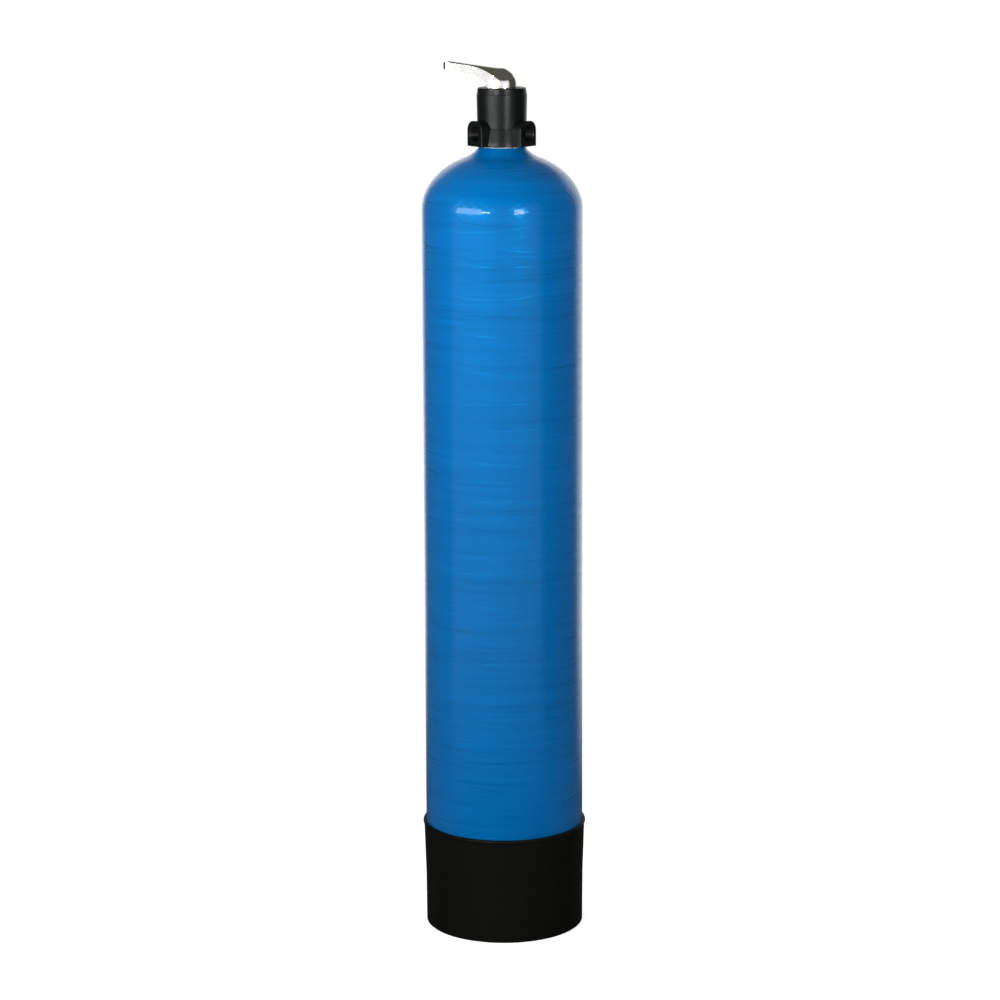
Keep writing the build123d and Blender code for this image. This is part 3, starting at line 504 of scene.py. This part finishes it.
def wind(shape, settings):
    """Press the turns of the winding into the outer wall of the shell."""
    draw = random.Random(7)
    waves = []
    for share in (1.0, 0.62, 1.7, 2.9, 0.41):
        waves.append((settings.band_pitch * share, draw.choice((-1, 1)), draw.uniform(0, math.tau)))
    for vertex in shape.verts:
        radius = math.hypot(vertex.co.x, vertex.co.y)
        height = vertex.co.z
        on_outside = radius > TANK_RADIUS - 1.5 * MM and BOWL_CENTRE < height < DOME_CENTRE + 0.02
        if not on_outside:
            continue
        around = math.atan2(vertex.co.y, vertex.co.x)
        ripple = sum(
            math.sin(math.tau * height / pitch + turns * around + phase)
            for pitch, turns, phase in waves
        )
        fade = min(1.0, (height - BOWL_CENTRE) / 0.05, (DOME_CENTRE + 0.02 - height) / 0.05)
        grown = 1 + settings.ripple * ripple * fade / len(waves) / radius
        vertex.co.x *= grown
        vertex.co.y *= grown


def port_thread(mount, settings):
    """Thread ridges in a port, as a ribbed lining that stands out of its wall."""
    radius = mount["dims"]["r_mm"] * MM
    length = mount["dims"]["length_mm"] * MM
    turns = int(length / settings.thread_pitch) - 1
    start = -turns * settings.thread_pitch / 2
    profile = [(radius + 0.4 * MM, start)]
    for turn in range(turns):
        foot = start + turn * settings.thread_pitch
        profile.append((radius + 0.1 * MM, foot))
        profile.append((radius - settings.thread_depth, foot + 0.40 * settings.thread_pitch))
        profile.append((radius - settings.thread_depth, foot + 0.60 * settings.thread_pitch))
    profile.append((radius + 0.1 * MM, -start))
    profile.append((radius + 0.4 * MM, -start))
    shape = spun(profile, 40)
    sharpen(shape, math.radians(25))
    axis = Vector(mount["axis"])
    turned = axis.to_track_quat("Z", "Y").to_matrix().to_4x4()
    bmesh.ops.transform(
        shape, matrix=Matrix.Translation(Vector(mount["pos_m"])) @ turned, verts=shape.verts
    )
    return shape


def dial_marks():
    """Raised bars at the lever's three stops on the index plate, counted by dots."""
    shape = bmesh.new()
    top = PLATE_HIGH.z
    middle = (PLATE_HIGH.x + 25.0 * MM) / 2
    for count, stop in enumerate(LEVER_STOPS, start=1):
        for spot in range(count):
            turn = LEVER_ANGLE + stop + math.radians(7.0 * (spot - (count - 1) / 2))
            place = Matrix.Rotation(turn, 4, "Z") @ Matrix.Translation((middle, 0, top))
            bmesh.ops.create_cube(
                shape, size=1.0, matrix=place @ Matrix.Diagonal((5.0 * MM, 1.2 * MM, 0.5 * MM, 1))
            )
    sharpen(shape, math.radians(20))
    return shape


# Operators, one for each piece or group


class FILTER_OT_tank(bpy.types.Operator):
    """Wound tank, with the turns of its winding in the wall"""

    bl_idname = "filter.tank"
    bl_label = "Wound tank"

    def execute(self, context):
        settings = context.scene.filter_tank
        shape = spun(tank_profile(4.6 * MM), settings.turns, closed=False)
        wind(shape, settings)
        sharpen(shape, math.radians(40))
        tank = as_object(
            shape, "tank_winding_finish", "vessel", wound_fibre(settings)
        )
        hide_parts("tank_winding")
        return {"FINISHED"}


class FILTER_OT_boot(bpy.types.Operator):
    """Moulded boot under the tank"""

    bl_idname = "filter.boot"
    bl_label = "Boot"

    def execute(self, context):
        settings = context.scene.filter_tank
        finish = moulded_black("boot_black", settings.boot, 0.50, 0.00035, 0.07)
        smooth_copy("base_boot", finish)
        return {"FINISHED"}


class FILTER_OT_valve(bpy.types.Operator):
    """Valve body and bonnet"""

    bl_idname = "filter.valve"
    bl_label = "Valve head"

    def execute(self, context):
        settings = context.scene.filter_valve
        finish = moulded_black("valve_black", settings.black, 0.30, 0.00012, 0.14)
        smooth_copy("valve_body", finish, math.radians(28))
        smooth_copy("bonnet", finish, math.radians(28))
        for port in ("inlet_port", "outlet_port", "drain_port"):
            as_object(
                port_thread(MOUNTS[port], settings), port + "_thread", "vessel", finish,
            )
        return {"FINISHED"}


class FILTER_OT_lever(bpy.types.Operator):
    """Chrome lever"""

    bl_idname = "filter.lever"
    bl_label = "Lever"

    def execute(self, context):
        settings = context.scene.filter_valve
        smooth_copy("handle", plated_chrome(settings), math.radians(30))
        return {"FINISHED"}


class FILTER_OT_inner(bpy.types.Operator):
    """Finishes of the inner pieces, seals and fasteners"""

    bl_idname = "filter.inner"
    bl_label = "Inner pieces"

    def execute(self, context):
        natural = speckled(
            "natural_polyethylene", (0.60, 0.62, 0.60), (0.74, 0.75, 0.72), 60.0, 0.45, 0.0002
        )
        pipe = speckled("white_pipe", (0.66, 0.66, 0.64), (0.76, 0.76, 0.74), 40.0, 0.35, 0.0001)
        rubber = speckled("seal_rubber", (0.012, 0.012, 0.012), (0.022, 0.022, 0.022), 500.0,
                          0.55, 0.0001)
        ceramic = speckled("disc_ceramic", (0.78, 0.77, 0.74), (0.84, 0.83, 0.80), 300.0, 0.12,
                           0.00002)
        brass = speckled("spindle_brass", (0.52, 0.36, 0.13), (0.66, 0.48, 0.20), 200.0, 0.25,
                         0.00004, 1.0)
        steel = speckled("screw_steel", (0.42, 0.42, 0.41), (0.56, 0.56, 0.55), 400.0, 0.28,
                         0.00004, 1.0)
        grey = speckled("index_grey", (0.10, 0.105, 0.11), (0.14, 0.145, 0.15), 250.0, 0.42,
                        0.00004)
        gravel = grains("washed_gravel", (0.14, 0.11, 0.08), (0.42, 0.36, 0.27), 180.0, 0.7)
        carbon = grains("granular_carbon", (0.006, 0.006, 0.006), (0.03, 0.03, 0.03), 420.0, 0.6)
        finishes = {
            "liner_natural": natural, "pipe_white": pipe, "strainer_white": pipe,
            "washer_white": natural, "seal_rubber": rubber, "disc_ceramic": ceramic,
            "spindle_brass": brass, "screw_steel": steel, "index_grey": grey,
            "gravel": gravel, "carbon": carbon,
        }
        for node, slot in SLOTS.items():
            if slot in finishes:
                put_on(frame["nodes"][node], finishes[slot])
        for node in ("bonnet_screws", "handle_screw", "index_plate", "neck_insert"):
            smooth_copy(node, finishes[SLOTS[node]])
        pale = speckled("mark_white", (0.62, 0.62, 0.60), (0.72, 0.72, 0.70), 300.0, 0.4, 0.00003)
        as_object(dial_marks(), "dial_marks", "vessel", pale)
        return {"FINISHED"}


class FILTER_OT_stage(bpy.types.Operator):
    """Floor, light and camera"""

    bl_idname = "filter.stage"
    bl_label = "Stage"

    def execute(self, context):
        settings = context.scene.filter_stage
        self.floor(settings)
        self.world(context, settings)
        self.lamps(settings)
        self.camera(context, settings)
        context.scene.view_settings.view_transform = "Standard"
        return {"FINISHED"}

    @staticmethod
    def lit_side(recipe, spot, settings):
        """Light from a direction, for gloss: bright before and behind the tank, dim beside it."""
        turn = settings.azimuth
        right = Vector((math.cos(turn), math.sin(turn), 0.0))
        toward = Vector((math.sin(turn), -math.cos(turn), 0.0))
        flat = recipe.node("VectorMath", {"operation": "MULTIPLY"}, {0: spot, 1: (1.0, 1.0, 0.0)})
        straight = recipe.node("VectorMath", {"operation": "NORMALIZE"}, {0: flat})
        facing = recipe.node(
            "VectorMath", {"operation": "DOT_PRODUCT"},
            {0: straight, 1: tuple(toward - 0.167 * right)}, out="Value",
        )
        dim = (0.075, 0.070, 0.060)
        return recipe.ramp(
            facing * 0.5 + 0.5, (0.06, (1.0, 1.0, 1.0)), (0.14, dim), (0.66, dim),
            (0.75, (1.0, 1.0, 1.0)), smooth="LINEAR",
        )

    @classmethod
    def floor(cls, settings):
        """A pale floor that looks white to the camera and keeps the shadow; to glossy rays it glows
        with a painted reflection, painted shade near the tank and light bands further out.
        """
        mat = Recipe("pale_floor")
        camera = mat.node("LightPath", out="Is Camera Ray")
        gloss = mat.node("LightPath", out="Is Glossy Ray")
        through = mat.node("LightPath", out="Is Transmission Ray")
        seen = mat.sum("MAXIMUM", mat.sum("MAXIMUM", camera, gloss), through)
        spot = mat.place((1, 1, 1))
        away = mat.node("VectorMath", {"operation": "LENGTH"}, {0: spot}, out="Value")
        paper = mat.noise(spot, 0.8, 2.0)
        matt = mat.node(
            "BsdfDiffuse", {}, {"Color": mat.ramp(paper, (0.3, (0.84, 0.84, 0.84)),
                                                  (0.7, (0.86, 0.86, 0.86)))}
        )
        glow = mat.node("Emission", {}, {"Color": (1, 1, 1, 1), "Strength": 0.62})
        near = mat.node("AddShader", {}, {0: matt, 1: glow})
        # Painted reflection: to glossy rays the floor glows dark near the tank as painted shade,
        # rising to the bright and dim light bands of lit_side further out.
        painted_reflection = mat.blend(
            mat.level(away, 0.9, 2.6), (0.06, 0.06, 0.055, 1.0), cls.lit_side(mat, spot, settings)
        )
        tint = mat.blend(gloss, (1, 1, 1, 1), painted_reflection)
        plain = mat.node("Emission", {}, {"Color": tint, "Strength": 1.0})
        open_floor = mat.sum("MAXIMUM", gloss, mat.level(away, 0.35, 0.9))
        backdrop = mat.node("MixShader", {}, {0: open_floor, 1: near, 2: plain})
        floor = mat.node("MixShader", {}, {0: seen, 1: matt, 2: backdrop})
        mat.tree.links.new(floor.socket, mat.output.inputs["Surface"])
        shape = bmesh.new()
        bmesh.ops.create_grid(shape, x_segments=2, y_segments=2, size=30.0)
        mesh = bpy.data.meshes.new("floor")
        shape.to_mesh(mesh)
        shape.free()
        obj = bpy.data.objects.new("floor", mesh)
        bpy.context.collection.objects.link(obj)
        put_on(obj, mat.material)

    @classmethod
    def world(cls, context, settings):
        """White to the camera; for gloss, white at eye level, brown-grey overhead and right."""
        world = bpy.data.worlds.new("studio")
        context.scene.world = world
        world.use_nodes = True
        tree = world.node_tree
        tree.nodes.clear()
        sky = Recipe.__new__(Recipe)
        sky.tree = tree
        output = tree.nodes.new("ShaderNodeOutputWorld")
        path = sky.node("LightPath", out="Is Camera Ray")
        gloss = sky.node("LightPath", out="Is Glossy Ray")
        spot = sky.node("TexCoord", out="Generated")
        rise = sky.node("SeparateXYZ", {}, {0: spot}, out="Z")
        overhead = sky.level(rise, 0.36, 0.50)
        around = sky.blend(overhead, cls.lit_side(sky, spot, settings), (0.10, 0.10, 0.08, 1.0))
        room = sky.node("Background", {}, {"Color": (0.92, 0.95, 1.0, 1), "Strength": 0.42})
        mirror = sky.node("Background", {}, {"Color": around, "Strength": 1.0})
        white = sky.node("Background", {}, {"Color": (1, 1, 1, 1), "Strength": 1.0})
        seen_in_gloss = sky.node("MixShader", {}, {0: gloss, 1: room, 2: mirror})
        seen = sky.node("MixShader", {}, {0: path, 1: seen_in_gloss, 2: white})
        tree.links.new(seen.socket, output.inputs["Surface"])

    @staticmethod
    def lamps(settings):
        """Small high lamps that draw the broken glints, strips for the valve and soft fill."""
        plan = (
            ("left_lamp", -24.0, 7.0, 7.0, 1.43, 1.6, 0.45, 150.0, True),
            ("right_lamp", 30.0, 7.0, 7.0, 1.43, 1.6, 0.30, 30.0, True),
            ("left_strip", -47.0, 2.0, 1.5, 1.58, 1.0, 0.34, 16.0, True),
            ("right_strip", 23.0, 2.0, 1.5, 1.58, 0.34, 0.34, 10.0, True),
            ("left_wide", -58.0, 30.0, 4.0, 0.95, 1.6, 2.2, 26.0, False),
            ("behind_left", -150.0, 32.0, 3.6, 0.95, 1.4, 1.8, 20.0, False),
            ("behind_right", 140.0, 28.0, 3.8, 0.95, 1.2, 1.8, 14.0, False),
        )
        for name, around, rise, distance, aim, width, tall, power, in_gloss in plan:
            lamp = bpy.data.lights.new(name, "AREA")
            lamp.shape = "RECTANGLE"
            lamp.size = width
            lamp.size_y = tall
            lamp.energy = power
            obj = bpy.data.objects.new(name, lamp)
            bpy.context.collection.objects.link(obj)
            turn = settings.azimuth + math.radians(around)
            up = math.radians(rise)
            back = Vector((
                math.sin(turn) * math.cos(up), -math.cos(turn) * math.cos(up), math.sin(up)
            ))
            obj.location = Vector((0, 0, aim)) + back * distance
            obj.rotation_mode = "QUATERNION"
            obj.rotation_quaternion = (-back).to_track_quat("-Z", "Y")
            obj.visible_camera = False
            obj.visible_glossy = in_gloss

    @staticmethod
    def camera(context, settings):
        """The photograph's camera: level turn, pitch and a small shift."""
        data = bpy.data.cameras.new("camera")
        data.sensor_width = 36.0
        data.lens = settings.lens
        data.shift_x = 0.0
        data.shift_y = -0.0722
        data.clip_end = 100.0
        camera = bpy.data.objects.new("camera", data)
        context.collection.objects.link(camera)
        turn = settings.azimuth
        camera.location = (
            math.sin(turn) * settings.distance, -math.cos(turn) * settings.distance,
            settings.camera_height,
        )
        yaw = Matrix.Rotation(turn + YAW_OFFSET, 4, "Z")
        tilt = Matrix.Rotation(math.radians(90) - settings.pitch, 4, "X")
        roll = Matrix.Rotation(ROLL, 4, "Z")
        camera.rotation_mode = "QUATERNION"
        camera.rotation_quaternion = (yaw @ tilt @ roll).to_quaternion()
        context.scene.camera = camera


YAW_OFFSET = math.radians(0.055)
ROLL = math.radians(-0.21)


class FILTER_PT_panel(bpy.types.Panel):
    """Lists the operators and their sizes"""

    bl_idname = "FILTER_PT_panel"
    bl_label = "Water filter"
    bl_space_type = "VIEW_3D"
    bl_region_type = "UI"
    bl_category = "Water filter"

    def draw(self, context):
        for operator in OPERATORS:
            self.layout.operator(operator.bl_idname)
        for group in (
            context.scene.filter_tank, context.scene.filter_valve, context.scene.filter_stage
        ):
            box = self.layout.box()
            for name in group.__annotations__:
                box.prop(group, name)


OPERATORS = (
    FILTER_OT_stage, FILTER_OT_tank, FILTER_OT_boot, FILTER_OT_valve, FILTER_OT_lever,
    FILTER_OT_inner,
)
CLASSES = (TankSettings, ValveSettings, StageSettings, *OPERATORS, FILTER_PT_panel)


def register():
    for entry in CLASSES:
        bpy.utils.register_class(entry)
    bpy.types.Scene.filter_tank = PointerProperty(type=TankSettings)
    bpy.types.Scene.filter_valve = PointerProperty(type=ValveSettings)
    bpy.types.Scene.filter_stage = PointerProperty(type=StageSettings)


def unregister():
    del bpy.types.Scene.filter_stage
    del bpy.types.Scene.filter_valve
    del bpy.types.Scene.filter_tank
    for entry in reversed(CLASSES):
        bpy.utils.unregister_class(entry)


def main():
    register()
    for operator in OPERATORS:
        group, name = operator.bl_idname.split(".")
        getattr(getattr(bpy.ops, group), name)()


if __name__ == "__main__":
    main()
